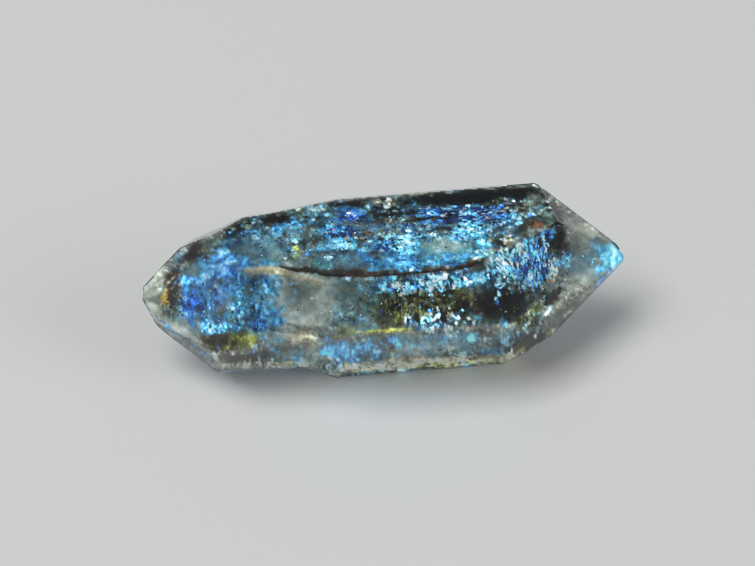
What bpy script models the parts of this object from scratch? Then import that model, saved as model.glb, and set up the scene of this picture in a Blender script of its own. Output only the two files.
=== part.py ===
"""Petroleum quartz: one doubly terminated quartz crystal, lying on its broad lower prism face.

Two individuals with parallel c axes have grown into one solid. The main one tapers towards the
left tip. The other is a thicker sheath on its right half, which carries the right termination
and starts on the left in ramps. Every face is a plane with a turn about the c axis, a lean
towards one of the tips and a distance from the middle of the axis, so the whole shape is a few
dozen face distances. The c axis runs along X, with the sharp tip at +X.
"""

from math import cos, radians, sin

import bmesh
import bpy
from mathutils import Vector

MM = 0.001

# Quartz geometry, in degrees. A prism face is turned 60 from the next one, and a rhombohedral
# face of either termination leans 38.2 from upright over the prism face below it.
TOP = 90
FRONT_UPPER = 30
FRONT_LOWER = -30
BOTTOM = -90
BACK_LOWER = -150
BACK_UPPER = 150
RHOMB_LEAN = 38.2

# Main individual: turn, lean and distance in mm of its six prism faces. The lean makes the taper.
MAIN_PRISM = {
    "top": (TOP, -1.2, 3.61),
    "front_upper": (FRONT_UPPER, -9.0, 5.02),
    "front_lower": (FRONT_LOWER, -1.0, 4.07),
    "bottom": (BOTTOM, -4.0, 3.57),
    "back_lower": (BACK_LOWER, -3.0, 4.50),
    "back_upper": (BACK_UPPER, -4.6, 3.55),
}
# Its termination, at the left: distances in mm of the six rhombohedral faces.
MAIN_TIP = {
    TOP: 7.77,
    FRONT_UPPER: 7.98,
    FRONT_LOWER: 8.45,
    BOTTOM: 7.82,
    BACK_LOWER: 7.90,
    BACK_UPPER: 7.90,
}
# A vicinal face rounds its upper back shoulder, and breaks blunt the left tip.
MAIN_SHOULDER = (125, -22.5, 6.02)
LEFT_TIP_BREAKS = (
    (170, -82, 12.02),
    (138, -53, 10.82),
    (-62, -66, 11.15),
    (20, -70, 11.72),
    (95, -66, 11.60),
)
# Its right end lies inside the sheath: this many mm along the axis it is cut off, in a blunt cone.
MAIN_CORE_LEAN = 18
MAIN_CORE_SHRINK = 0.95
MAIN_CORE_END = 5.0

# Sheath: distances in mm of its six prism faces, which are parallel to the c axis.
SHEATH_PRISM = {
    TOP: 3.75,
    FRONT_UPPER: 5.76,
    FRONT_LOWER: 4.39,
    BOTTOM: 4.26,
    BACK_LOWER: 4.60,
    BACK_UPPER: 3.56,
}
# Its termination, at the right: distances in mm. The top face is turned a little to the back.
SHEATH_TIP = {
    TOP + 7: 8.16,
    FRONT_UPPER: 7.82,
    FRONT_LOWER: 7.80,
    BOTTOM: 7.76,
    BACK_LOWER: 7.80,
    BACK_UPPER: 7.74,
}
# Vicinal faces bevel its right shoulder, and small worn planes blunt the right tip.
SHEATH_SHOULDER = (
    (36, 27.5, 6.86),
    (48, 25.5, 6.96),
    (-34, 24.0, 6.54),
    (120, 24.0, 8.00),
)
RIGHT_TIP_WEAR = ((100, 76, 12.50), (-70, 78, 12.46))
# Its left edge: each prism face stops this many mm along the axis and ramps down with this lean.
SHEATH_RAMPS = {
    TOP: (-3.0, -5),
    FRONT_UPPER: (-3.2, -33),
    FRONT_LOWER: (-2.6, -24),
    BOTTOM: (-2.9, -19),
    BACK_LOWER: (-4.0, -20),
    BACK_UPPER: (-2.0, -8),
}
SHEATH_CORE_START = 7.0

# The block that each individual is cut from, in mm.
BLOCK_LENGTH = 40
BLOCK_WIDTH = 24

QUARTZ_COLOUR = (0.93, 0.94, 0.92, 1.0)
QUARTZ_ROUGHNESS = 0.04
QUARTZ_IOR = 1.544


def clear_scene():
    for old in list(bpy.data.objects):
        bpy.data.objects.remove(old)


def face_normal(turn, lean):
    """The outward normal of a face: turn is its elevation seen along the axis, lean its tilt to +X."""
    turn, lean = radians(turn), radians(lean)
    return Vector((sin(lean), -cos(lean) * cos(turn), cos(lean) * sin(turn)))


def ramp_face(turn, base_distance, start, lean):
    """The face that leaves a prism face at start, in mm along the axis, and falls off to the left."""
    meeting = face_normal(turn, 0) * base_distance + Vector((start, 0, 0))
    return turn, lean, face_normal(turn, lean).dot(meeting)


def crystal_mesh(name, faces):
    """A block cut down to the given faces, each (turn, lean, distance in mm)."""
    cut = bmesh.new()
    bmesh.ops.create_cube(cut, size=1)
    bmesh.ops.scale(cut, vec=Vector((BLOCK_LENGTH, BLOCK_WIDTH, BLOCK_WIDTH)) * MM, verts=cut.verts)
    for turn, lean, distance in faces:
        normal = face_normal(turn, lean)
        everything = cut.verts[:] + cut.edges[:] + cut.faces[:]
        made = bmesh.ops.bisect_plane(
            cut,
            geom=everything,
            dist=1e-7,
            plane_co=normal * distance * MM,
            plane_no=normal,
            clear_outer=True,
        )
        rim = [part for part in made["geom_cut"] if isinstance(part, bmesh.types.BMEdge)]
        if rim:
            bmesh.ops.edgenet_fill(cut, edges=rim)
    bmesh.ops.recalc_face_normals(cut, faces=cut.faces)
    mesh = bpy.data.meshes.new(name)
    cut.to_mesh(mesh)
    cut.free()
    return mesh


def main_faces():
    """The main individual: prism, left termination, and the core end inside the sheath."""
    faces = list(MAIN_PRISM.values())
    faces += [(turn, -RHOMB_LEAN, distance) for turn, distance in MAIN_TIP.items()]
    faces += [MAIN_SHOULDER, *LEFT_TIP_BREAKS]
    faces += [
        (turn, MAIN_CORE_LEAN, distance * MAIN_CORE_SHRINK)
        for turn, distance in SHEATH_PRISM.items()
    ]
    faces.append((0, 90, MAIN_CORE_END))
    return faces


def sheath_faces():
    """The sheath: prism, right termination, shoulder bevels, and the ramps of its left edge."""
    faces = [(turn, 0, distance) for turn, distance in SHEATH_PRISM.items()]
    faces += [(turn, RHOMB_LEAN, distance) for turn, distance in SHEATH_TIP.items()]
    faces += [*SHEATH_SHOULDER, *RIGHT_TIP_WEAR]
    faces += [
        ramp_face(turn, SHEATH_PRISM[turn], start, lean)
        for turn, (start, lean) in SHEATH_RAMPS.items()
    ]
    faces.append((0, -90, SHEATH_CORE_START))
    return faces


def set_down(meshes):
    """Moves the meshes together, so that they rest on Z = 0 over the origin."""
    corners = [vertex.co for mesh in meshes for vertex in mesh.vertices]
    lowest = Vector(min(corner[axis] for corner in corners) for axis in range(3))
    highest = Vector(max(corner[axis] for corner in corners) for axis in range(3))
    middle = (lowest + highest) / 2
    foot = Vector((middle.x, middle.y, lowest.z))
    for mesh in meshes:
        for vertex in mesh.vertices:
            vertex.co -= foot


def quartz_material():
    """Clear quartz, faintly milky."""
    material = bpy.data.materials.new("quartz")
    material.use_nodes = True
    shader = material.node_tree.nodes["Principled BSDF"]
    shader.inputs["Base Color"].default_value = QUARTZ_COLOUR
    shader.inputs["Roughness"].default_value = QUARTZ_ROUGHNESS
    shader.inputs["Metallic"].default_value = 0.0
    shader.inputs["IOR"].default_value = QUARTZ_IOR
    shader.inputs["Transmission Weight"].default_value = 1.0
    return material


def add_object(name, mesh):
    made = bpy.data.objects.new(name, mesh)
    bpy.context.scene.collection.objects.link(made)
    return made


def build():
    """The crystal, with the sheath joined on by a Boolean union."""
    clear_scene()
    main_mesh = crystal_mesh("quartz_crystal", main_faces())
    sheath_mesh = crystal_mesh("sheath", sheath_faces())
    set_down([main_mesh, sheath_mesh])
    main_mesh.materials.append(quartz_material())

    crystal = add_object("quartz_crystal", main_mesh)
    sheath = add_object("sheath", sheath_mesh)
    sheath.hide_render = True
    sheath.display_type = "WIRE"

    join = crystal.modifiers.new("grown_together", "BOOLEAN")
    join.operation = "UNION"
    join.solver = "EXACT"
    join.object = sheath


build()
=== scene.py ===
"""The looks of a petroleum quartz crystal: its clear skin, and what is sealed inside it."""

from math import cos, pi, radians, sin, sqrt

import bmesh
import bpy
import numpy as np
from mathutils import Matrix, Vector, noise
from mathutils.bvhtree import BVHTree
from mathutils.kdtree import KDTree


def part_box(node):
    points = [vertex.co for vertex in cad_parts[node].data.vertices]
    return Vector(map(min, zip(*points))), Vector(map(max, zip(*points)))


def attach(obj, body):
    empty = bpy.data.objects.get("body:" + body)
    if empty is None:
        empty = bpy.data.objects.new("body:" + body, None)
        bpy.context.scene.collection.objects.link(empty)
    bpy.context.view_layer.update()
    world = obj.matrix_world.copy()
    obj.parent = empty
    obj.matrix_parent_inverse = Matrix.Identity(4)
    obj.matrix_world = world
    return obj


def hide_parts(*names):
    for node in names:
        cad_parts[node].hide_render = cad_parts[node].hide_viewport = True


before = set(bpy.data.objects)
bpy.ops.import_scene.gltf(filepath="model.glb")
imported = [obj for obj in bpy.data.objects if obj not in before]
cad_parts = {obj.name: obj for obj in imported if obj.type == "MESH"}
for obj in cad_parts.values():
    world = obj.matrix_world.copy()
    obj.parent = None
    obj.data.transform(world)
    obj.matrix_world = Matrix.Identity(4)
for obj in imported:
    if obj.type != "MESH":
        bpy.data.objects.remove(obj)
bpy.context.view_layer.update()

MM = 0.001
NODE = "quartz_crystal"
QUARTZ_IOR = 1.544

# The photograph's camera: a long lens that looks down on the crystal, a little from its left.
PHOTO_WIDTH, PHOTO_HEIGHT = 755, 566
CAMERA_ELEVATION = 40.0
CAMERA_AZIMUTH = -7.4
CAMERA_DISTANCE = 0.2
PIXELS_PER_METRE = 19800
# The middle of the c axis, which the photograph shows at this pixel.
MIDDLE = Vector((0, 0, 0.00426))
MIDDLE_PIXEL = (387.3, 284.0)
SENSOR_WIDTH = 36.0

# The right tip is worn to a ball: its middle, its radius, and from where to where ahead of the
# middle the faces run over into it.
TIP_MIDDLE = Vector((0.01181, 0.00055, 0.00426))
TIP_RADIUS = 0.4 * MM
TIP_RUN = (0.12 * MM, 0.28 * MM)


def camera_axes():
    """Unit vectors to the right of the picture, up it, and back towards the camera."""
    tilt, turn = radians(CAMERA_ELEVATION), radians(CAMERA_AZIMUTH)
    right = Vector((cos(turn), sin(turn), 0))
    back = Vector((sin(turn) * cos(tilt), -cos(turn) * cos(tilt), sin(tilt)))
    return right, back.cross(right), back


RIGHT, UP, BACK = camera_axes()
AIM = (
    MIDDLE
    - RIGHT * ((MIDDLE_PIXEL[0] - PHOTO_WIDTH / 2) / PIXELS_PER_METRE)
    + UP * ((MIDDLE_PIXEL[1] - PHOTO_HEIGHT / 2) / PIXELS_PER_METRE)
)
EYE = AIM + BACK * CAMERA_DISTANCE


def make_camera():
    data = bpy.data.cameras.new("camera")
    data.sensor_width = SENSOR_WIDTH
    data.lens = SENSOR_WIDTH * CAMERA_DISTANCE * PIXELS_PER_METRE / PHOTO_WIDTH
    data.clip_start = 0.001
    data.clip_end = 10
    camera = bpy.data.objects.new("camera", data)
    bpy.context.scene.collection.objects.link(camera)
    camera.matrix_world = Matrix.Translation(EYE) @ Matrix((RIGHT, UP, BACK)).transposed().to_4x4()
    bpy.context.scene.camera = camera


def ray_slopes(x, y):
    """How far the ray through a pixel goes to the right, and up the picture, per metre ahead."""
    across = (x - PHOTO_WIDTH / 2) / PIXELS_PER_METRE / CAMERA_DISTANCE
    upward = (PHOTO_HEIGHT / 2 - y) / PIXELS_PER_METRE / CAMERA_DISTANCE
    return across, upward


class Look:
    """Rays from the camera through a pixel of the photograph, refracted into the crystal."""

    def __init__(self, node):
        corners = [v.co.copy() for v in node.data.vertices]
        sides = [tuple(p.vertices) for p in node.data.polygons]
        self.tree = BVHTree.FromPolygons(corners, sides, epsilon=0)

    def enter(self, x, y):
        """(point, direction inside, face normal, path length to the way out) at a pixel, or None."""
        across, upward = ray_slopes(x, y)
        ray = (RIGHT * across + UP * upward - BACK).normalized()
        point, normal, _, _ = self.tree.ray_cast(EYE, ray)
        if point is None:
            return None
        facing = -normal.dot(ray)
        ratio = 1 / QUARTZ_IOR
        inside = ray * ratio + normal * (
            ratio * facing - sqrt(1 - ratio * ratio * (1 - facing * facing))
        )
        _, _, _, length = self.tree.ray_cast(point + inside * 1e-6, inside)
        return point, inside, normal, length or 0.0

    def depth_inside(self, point):
        """How far a point is from the nearest face, below zero if it is outside."""
        nearest, normal, _, distance = self.tree.find_nearest(point)
        from_tip = Vector(point) - TIP_MIDDLE
        if from_tip.x > TIP_RUN[1]:
            distance = min(distance, TIP_RADIUS - from_tip.length)
        return distance if (Vector(point) - nearest).dot(normal) < 0 else -distance


look = Look(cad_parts[NODE])


def link(name, mesh):
    made = bpy.data.objects.new(name, mesh)
    bpy.context.scene.collection.objects.link(made)
    return made


def node_tree(name):
    material = bpy.data.materials.new(name)
    material.use_nodes = True
    return material, material.node_tree, material.node_tree.nodes["Principled BSDF"]


# The skin

# How far apart the cuts across X, Y and Z lie, and the finer ones around the right tip. Corners
# nearer to a cut than the slack, a share of that, are used in place of new ones.
SKIN_SLICE = (0.18 * MM, 0.3 * MM, 0.3 * MM)
TIP_SLICE = 0.06 * MM
SLICE_SLACK = 0.02
# An X that lies left of every vertex.
EVERYTHING = -1.0
WIDE_ROUNDING = 0.45 * MM
FINE_ROUNDING = 0.06 * MM
ROUNDING_STEPS = 4
# The sheath's left margin, where growth has left soft steps: its span along X, and the sharpest
# edge that is soft there. A corner counts as inside it within the slack.
MARGIN_SLACK = 0.01 * MM
MARGIN_START, MARGIN_END = -6.5 * MM, -2.0 * MM
SOFT_ANGLE = radians(40)
# The wide rounding narrows over this length on both sides of the margin.
MARGIN_TAPER = 0.4 * MM
# Growth hillocks on every face, and the rough break at the left tip, which begins at this X.
HILLOCK_SIZE, HILLOCK_HEIGHT = 1.6 * MM, 0.012 * MM
BREAK_SIZE, BREAK_DEPTH = 0.45 * MM, 0.07 * MM
BREAK_START, BREAK_RUN = -10.6 * MM, 1.5 * MM
HAZE_COLOUR = (0.62, 0.60, 0.56, 1)
HAZE_DENSITY = 50


def beyond(mesh, start):
    """What lies further along X than the start, or touches it."""
    corners = [corner for corner in mesh.verts if corner.co.x > start]
    edges = {edge for corner in corners for edge in corner.link_edges}
    faces = {face for corner in corners for face in corner.link_faces}
    return [*corners, *edges, *faces]


def cut_across(mesh, part, axis, place, slack):
    """Cuts part of a mesh by the plane across an axis, or through corners within the slack of it."""
    normal = Vector((0, 0, 0))
    normal[axis] = 1
    bmesh.ops.bisect_plane(mesh, geom=part, dist=slack, plane_co=normal * place, plane_no=normal)


def sliced(mesh, axis, low, high, step, start=EVERYTHING):
    """Cuts the mesh by parallel planes, so that flat faces get vertices without leaving their plane."""
    for place in np.arange(low + step / 2, high, step):
        cut_across(mesh, beyond(mesh, start), axis, float(place), step * SLICE_SLACK)


def rounding_share(edge):
    """How much of the wide rounding an edge gets."""
    first, last = MARGIN_START - MARGIN_SLACK, MARGIN_END + MARGIN_SLACK
    in_margin = all(first < corner.co.x < last for corner in edge.verts)
    if in_margin and abs(edge.calc_face_angle_signed()) < SOFT_ANGLE:
        return 1.0
    return FINE_ROUNDING / WIDE_ROUNDING


def rounded_crystal(node):
    """The frame's crystal with every edge rounded, as a new mesh."""
    plain = bmesh.new()
    plain.from_mesh(node.data)
    bmesh.ops.remove_doubles(plain, verts=plain.verts, dist=1e-7)
    bmesh.ops.dissolve_limit(plain, angle_limit=radians(0.5), verts=plain.verts, edges=plain.edges)
    for place in (MARGIN_START - MARGIN_TAPER, MARGIN_START, MARGIN_END, MARGIN_END + MARGIN_TAPER):
        cut_across(plain, plain.verts[:] + plain.edges[:] + plain.faces[:], 0, place, MARGIN_SLACK)
    weight = plain.edges.layers.float.new("bevel_weight_edge")
    for edge in plain.edges:
        edge[weight] = rounding_share(edge)
    mesh = bpy.data.meshes.new("rounded")
    plain.to_mesh(mesh)
    plain.free()
    holder = link("rounded", mesh)
    bevel = holder.modifiers.new("rounding", "BEVEL")
    bevel.limit_method = "WEIGHT"
    bevel.width = WIDE_ROUNDING
    bevel.segments = ROUNDING_STEPS
    bpy.context.view_layer.update()
    done = holder.evaluated_get(bpy.context.evaluated_depsgraph_get())
    result = bpy.data.meshes.new_from_object(done)
    bpy.data.objects.remove(holder)
    return result


def relief(place):
    """How far in metres the surface lies inside its flat face: hillocks, and a broken left tip."""
    broad = noise.fractal(place / HILLOCK_SIZE, 1.0, 2.0, 2) + 0.4
    broken = min(max((BREAK_START - place.x) / BREAK_RUN, 0), 1)
    rough = abs(noise.fractal(place / BREAK_SIZE, 1.0, 2.0, 3))
    return HILLOCK_HEIGHT * max(broad, 0) + BREAK_DEPTH * broken * rough


def tip_wear(place):
    """The way from a place on the faces of the right tip to the ball that it is worn to."""
    from_tip = place - TIP_MIDDLE
    share = min(max((from_tip.x - TIP_RUN[0]) / (TIP_RUN[1] - TIP_RUN[0]), 0), 1)
    over = max(from_tip.length - TIP_RADIUS, 0)
    return from_tip.normalized() * (-over * share * share * (3 - 2 * share))


def area_normals(mesh):
    """The normal at each corner of a triangle mesh, in which each triangle counts by its area."""
    corners = np.empty(len(mesh.vertices) * 3, np.float32)
    mesh.vertices.foreach_get("co", corners)
    corners = corners.reshape(-1, 3).astype(float)
    sides = np.empty(len(mesh.polygons) * 3, np.int32)
    mesh.polygons.foreach_get("vertices", sides)
    sides = sides.reshape(-1, 3)
    first, second, third = (corners[sides[:, side]] for side in range(3))
    facing = np.cross(second - first, third - first)
    total = np.zeros_like(corners)
    for side in range(3):
        np.add.at(total, sides[:, side], facing)
    return unit(total)


def unit(ways):
    return ways / np.maximum(np.linalg.norm(ways, axis=-1), 1e-30)[..., None]


def facet_normals(skin, source, facets):
    """The normal at each corner from the facets it touches, each counting once by its area."""
    ways = []
    for corner in skin.verts:
        total = Vector((0, 0, 0))
        for number in {face[source] for face in corner.link_faces}:
            total += facets[number]
        ways.append(total.normalized())
    return np.array(ways)


def make_skin():
    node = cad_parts[NODE]
    low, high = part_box(NODE)
    skin = bmesh.new()
    skin.from_mesh(rounded_crystal(node))
    source = skin.faces.layers.int.new("source")
    facets = []
    for number, face in enumerate(skin.faces):
        face[source] = number
        facets.append(face.normal * face.calc_area())
    for axis, step in enumerate(SKIN_SLICE):
        sliced(skin, axis, low[axis], high[axis], step)
    tip_start = TIP_MIDDLE.x - TIP_SLICE
    for axis in range(3):
        reach = TIP_MIDDLE[axis] - TIP_RADIUS, TIP_MIDDLE[axis] + 2 * TIP_RADIUS
        sliced(skin, axis, *reach, TIP_SLICE, tip_start)
    bmesh.ops.remove_doubles(skin, verts=skin.verts, dist=0.002 * MM)
    bmesh.ops.triangulate(skin, faces=skin.faces)
    skin.normal_update()
    normals = facet_normals(skin, source, facets)
    mesh = bpy.data.meshes.new("quartz_skin")
    skin.to_mesh(mesh)
    normals -= area_normals(mesh)
    for corner in skin.verts:
        corner.co -= corner.normal * relief(corner.co)
        corner.co += tip_wear(corner.co)
    skin.to_mesh(mesh)
    skin.free()
    normals = unit(normals + area_normals(mesh))
    mesh.shade_smooth()
    mesh.normals_split_custom_set_from_vertices(normals)
    made = link("quartz_skin", mesh)
    mesh.materials.append(quartz_material())
    made.visible_shadow = False
    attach(made, "root")
    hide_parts(NODE)
    return made


def quartz_material():
    material, tree, shader = node_tree("quartz")
    shader.inputs["Base Color"].default_value = (1, 1, 1, 1)
    shader.inputs["Roughness"].default_value = 0.02
    shader.inputs["IOR"].default_value = QUARTZ_IOR
    shader.inputs["Transmission Weight"].default_value = 1
    haze = tree.nodes.new("ShaderNodeVolumeAbsorption")
    haze.inputs["Color"].default_value = HAZE_COLOUR
    haze.inputs["Density"].default_value = HAZE_DENSITY
    tree.links.new(haze.outputs[0], tree.nodes["Material Output"].inputs["Volume"])
    return material


# What is sealed inside

# Each kind of inclusion: its colour as sRGB, the share of it that is painted glow, an emission that
# brightens it though no lamp lights it, and how readily it spreads as a film where nothing says
# that it does.
KINDS = {
    "bitumen": ((12, 11, 10), 0.0, -0.15),
    "umber": ((62, 52, 42), 0.0, 0.0),
    "smoke": ((134, 136, 124), 0.1, 0.1),
    "slate": ((92, 124, 142), 0.1, 0.2),
    "milk": ((148, 162, 156), 0.15, -0.2),
    # frost_and_painted_rim_light: frosted quartz, and also pale painted light along the rims and outline.
    "frost_and_painted_rim_light": ((160, 168, 158), 0.1, -0.4),
    "teal": ((84, 150, 160), 0.2, 0.05),
    "navy": ((26, 46, 112), 0.3, -0.1),
    "ultramarine": ((48, 100, 232), 0.5, -0.35),
    "azure": ((66, 136, 204), 0.4, -0.05),
    "cyan": ((120, 210, 242), 0.5, -0.3),
    # painted_glint: white flecks that are painted glints, highlights of light off the films.
    "painted_glint": ((236, 248, 252), 0.4, -0.5),
    "olive": ((96, 100, 60), 0.1, -0.1),
    "lime": ((214, 220, 110), 0.3, -0.5),
    "gold": ((206, 166, 84), 0.2, -0.55),
    "rust": ((152, 100, 70), 0.1, -0.5),
    # tan_and_painted_highlight: beige in the veils, and also pale cream painted highlights along ridges
    # and rims.
    "tan_and_painted_highlight": ((182, 178, 150), 0.1, -0.4),
    "pink": ((196, 166, 196), 0.15, -0.5),
}

# Where the photograph shows more of each kind, in its pixels: the middle, the half sizes and the
# turn in degrees of a spot, and how much more.
SPOTS = {
    "bitumen": (
        (464, 197, 75, 7, -4, 1.9), (498, 303, 25, 14, 0, 1.6), (462, 305, 8, 12, 0, 1.8),
        (515, 312, 12, 8, 20, 0.7), (275, 218, 14, 5, -10, 1.7), (242, 229, 26, 7, -22, 0.5),
        (345, 203, 22, 4, -5, 1.2), (352, 223, 14, 2.5, 0, 0.6), (395, 214, 18, 3, 0, 0.7),
        (453, 228, 28, 3, -4, 1.0), (526, 343, 16, 6, -30, 1.6), (554, 296, 5, 8, -35, 1.2),
        (545, 250, 18, 18, 0, 0.4), (556, 236, 8, 12, 0, 1.1), (563, 238, 4, 18, -10, 0.9),
        (393, 314, 18, 14, 0, 0.9), (240, 357, 26, 3, -2, 1.0), (193, 252, 10, 5, -35, 1.0),
        (350, 264, 26, 8, 0, 0.15), (274, 364, 2.5, 2, 0, 1.6), (344, 234, 16, 6, 0, 0.5),
        (435, 218, 50, 5, -4, 0.5), (385, 210, 20, 4, 0, 0.6), (460, 366, 40, 2, -5, 0.6),
        (520, 240, 10, 8, 0, 0.4),
    ),
    "umber": (
        (195, 252, 13, 6, -35, 1.5), (174, 281, 8, 13, 20, 1.3), (222, 342, 14, 8, -5, 2.1),
        (203, 338, 3, 13, 0, 0.6), (350, 262, 22, 8, 0, 0.6), (290, 325, 4, 18, 0, 0.9),
        (306, 312, 3, 16, 0, 0.5), (455, 300, 20, 14, 0, 0.6), (398, 314, 26, 16, 0, 0.7),
        (565, 240, 6, 20, -10, 0.9), (530, 222, 14, 10, 0, 0.6), (240, 357, 26, 4, -2, 0.8),
        (388, 345, 14, 9, 0, 0.6), (505, 312, 24, 10, 0, 0.8), (285, 242, 8, 8, 0, 0.4),
        (350, 315, 20, 14, 0, 0.3),
    ),
    "smoke": (
        (585, 262, 16, 34, 0, 1.3), (575, 230, 16, 16, 30, 0.8), (554, 280, 10, 20, 0, 0.9),
        (355, 305, 30, 20, 0, 0.5), (565, 308, 20, 12, -45, 0.9), (533, 315, 14, 12, 0, 0.7),
        (250, 247, 22, 6, -5, 0.5), (520, 235, 16, 12, 0, 0.5), (395, 350, 16, 8, 0, 0.5),
        (310, 335, 14, 18, 0, 0.4), (262, 340, 14, 10, 0, 0.3),
    ),
    "slate": (
        (270, 243, 34, 14, -6, 0.8), (348, 258, 18, 9, 0, 1.0), (360, 300, 32, 22, 0, 0.6),
        (450, 345, 50, 10, -5, 0.4), (510, 235, 24, 16, 0, 0.3), (240, 240, 40, 12, -25, 0.3),
        (285, 300, 40, 30, 0, 0.4), (588, 252, 16, 24, 0, 1.3),
    ),
    "milk": (
        (296, 302, 34, 34, 0, 0.8), (282, 305, 56, 42, 0, 0.8), (318, 316, 9, 34, 0, 0.6),
        (440, 344, 62, 12, -4, 1.0), (450, 246, 28, 9, -4, 1.7), (322, 362, 22, 7, 0, 0.9),
        (533, 197, 9, 8, 30, 1.2), (506, 328, 17, 5, -8, 1.1), (531, 314, 9, 9, 0, 0.7),
        (560, 320, 12, 12, -40, 0.5), (586, 262, 18, 34, 0, 0.9), (205, 318, 8, 14, 0, 0.5),
    ),
    "frost_and_painted_rim_light": (
        (150, 296, 12, 28, 0, 1.8), (185, 330, 14, 8, 40, 0.9), (164, 272, 10, 12, 30, 0.7),
        (600, 262, 12, 14, 0, 0.4), (318, 208, 12, 4, -4, 0.9), (385, 205, 17, 6, 0, 1.7),
    ),
    "teal": (
        (250, 300, 14, 22, 0, 0.6), (323, 264, 10, 8, 0, 0.9), (362, 298, 26, 14, 0, 0.4),
        (415, 262, 40, 8, -4, 0.4), (280, 240, 20, 8, 0, 0.3), (450, 247, 30, 9, -4, 1.0),
    ),
    "navy": (
        (293, 219, 7, 4, 0, 1.0), (344, 233, 14, 6, 0, 1.1), (258, 326, 9, 6, 0, 0.9),
        (385, 248, 10, 6, 0, 0.9), (425, 212, 18, 5, -4, 0.9), (465, 211, 16, 4, -4, 0.9),
        (430, 282, 50, 5, -5, 0.8), (548, 236, 8, 7, 0, 1.0), (535, 265, 18, 20, 0, 0.6),
        (237, 300, 6, 26, 0, 0.6), (480, 216, 30, 8, -4, 0.6), (497, 303, 4, 5, 0, 1.2),
    ),
    "ultramarine": (
        (189, 302, 9, 18, 0, 1.3), (351, 215, 10, 6, 0, 1.6), (432, 212, 12, 5, -4, 0.7),
        (495, 212, 12, 6, 0, 0.7), (548, 235, 5, 5, 0, 1.3), (392, 288, 5, 4, 0, 1.3),
        (425, 284, 34, 5, -4, 0.8), (221, 280, 18, 24, 0, 0.8), (206, 262, 8, 8, 0, 0.4),
    ),
    "azure": (
        (213, 262, 18, 12, -15, 0.9), (214, 292, 17, 26, 0, 0.7), (287, 226, 18, 5, -5, 1.1),
        (243, 232, 18, 7, -30, 0.8), (262, 303, 17, 28, 0, 0.8), (286, 298, 13, 26, 0, 0.65),
        (331, 231, 16, 8, 0, 0.6), (278, 321, 6, 5, 0, 1.1), (273, 350, 7, 4, 0, 1.1),
        (338, 349, 28, 9, -3, 1.25), (405, 262, 34, 8, -4, 1.2), (495, 215, 18, 9, 0, 0.9),
        (530, 258, 18, 22, 0, 1.5), (566, 262, 8, 8, 0, 0.7), (430, 343, 48, 8, -5, 0.9),
        (388, 247, 12, 7, 0, 0.5), (440, 235, 40, 8, 0, 0.4),
    ),
    "cyan": (
        (239, 300, 9, 26, 0, 0.5), (213, 328, 11, 5, -5, 1.1), (204, 277, 4, 4, 0, 0.9),
        (224, 251, 6, 4, 0, 0.9), (341, 245, 14, 6, 0, 1.4), (328, 352, 7, 5, 0, 1.1),
        (402, 246, 16, 8, -4, 1.8), (468, 229, 14, 9, 0, 2.1), (482, 244, 3, 11, -10, 1.2),
        (500, 264, 13, 9, 35, 1.9), (535, 262, 12, 18, 0, 1.0), (566, 261, 7, 7, 0, 1.1),
        (398, 342, 6, 5, 0, 0.8), (475, 337, 6, 5, 0, 0.9), (477, 317, 5, 3, 0, 1.0),
        (432, 283, 52, 7, -5, 1.4), (604, 257, 20, 15, 0, 1.0), (614, 257, 10, 13, 0, 0.7),
        (448, 258, 25, 5, -4, 0.7),
    ),
    "painted_glint": (
        (352, 215, 4, 3, 0, 1.3), (345, 245, 8, 3, 0, 0.9), (404, 245, 7, 5, 0, 1.0),
        (466, 226, 8, 5, 0, 0.9), (504, 266, 8, 6, 30, 1.0), (384, 204, 14, 4, 0, 0.6),
        (318, 208, 12, 4, -3, 0.7), (514, 201, 2, 2, 0, 1.4), (329, 258, 3, 2, 0, 1.1),
        (438, 318, 22, 5, -5, 0.7), (505, 327, 5, 4, 0, 1.1), (546, 312, 5, 7, -30, 0.4),
        (450, 284, 30, 5, -5, 0.1), (476, 282, 6, 5, 0, 0.5), (510, 234, 5, 6, 0, 0.7),
    ),
    "olive": (
        (395, 312, 22, 16, 0, 1.2), (440, 300, 34, 12, -5, 1.4), (232, 342, 22, 9, -5, 2.2),
        (275, 250, 16, 10, 0, 0.4), (520, 312, 12, 10, 0, 0.6), (345, 330, 16, 8, 0, 0.4),
    ),
    "lime": (
        (251, 341, 7, 8, 0, 1.9), (296, 251, 4, 9, 0, 1.55), (420, 292, 14, 4, -3, 1.1),
        (372, 281, 3, 2, 0, 1.1), (383, 330, 12, 3, -3, 1.1), (531, 314, 6, 8, 0, 0.5),
        (440, 303, 20, 8, 0, 0.6), (570, 290, 6, 10, -40, 0.5),
    ),
    "gold": (
        (166, 300, 6, 7, 0, 2.6), (202, 249, 3, 3, 0, 1.8), (473, 263, 5, 2, -10, 1.3),
        (312, 298, 2.5, 2, 0, 1.2), (582, 288, 3, 2, -30, 1.2), (296, 251, 3, 6, 0, 0.5),
    ),
    "rust": (
        (174, 281, 4, 10, 20, 1.0), (536, 224, 7, 4, 0, 1.7), (467, 315, 3, 2, 0, 1.3),
        (203, 340, 2, 12, 0, 0.8), (411, 360, 20, 3, -4, 1.3), (350, 262, 14, 5, 0, 0.4),
    ),
    "tan_and_painted_highlight": (
        # The first spot is a painted highlight along the ridge between the top and front faces.
        (270, 272, 19, 4, 0, 1.5), (243, 246, 13, 4, -5, 0.8), (293, 320, 3, 28, 0, 0.7),
        (302, 338, 20, 9, 0, 1.2), (305, 305, 18, 30, 0, 0.35), (323, 300, 5, 30, 0, 0.8),
        (385, 204, 17, 5, 0, 0.5), (432, 246, 16, 7, -4, 0.4), (322, 345, 20, 5, -8, 0.9),
        (318, 208, 14, 4, -4, 0.6), (585, 275, 14, 20, 0, 0.4),
    ),
    "pink": (
        (511, 235, 6, 7, 0, 1.1), (445, 281, 4, 4, 0, 1.0), (420, 350, 20, 4, -4, 0.7),
        (455, 340, 30, 8, -5, 0.6), (205, 320, 4, 6, 0, 0.6),
    ),
}
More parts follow.
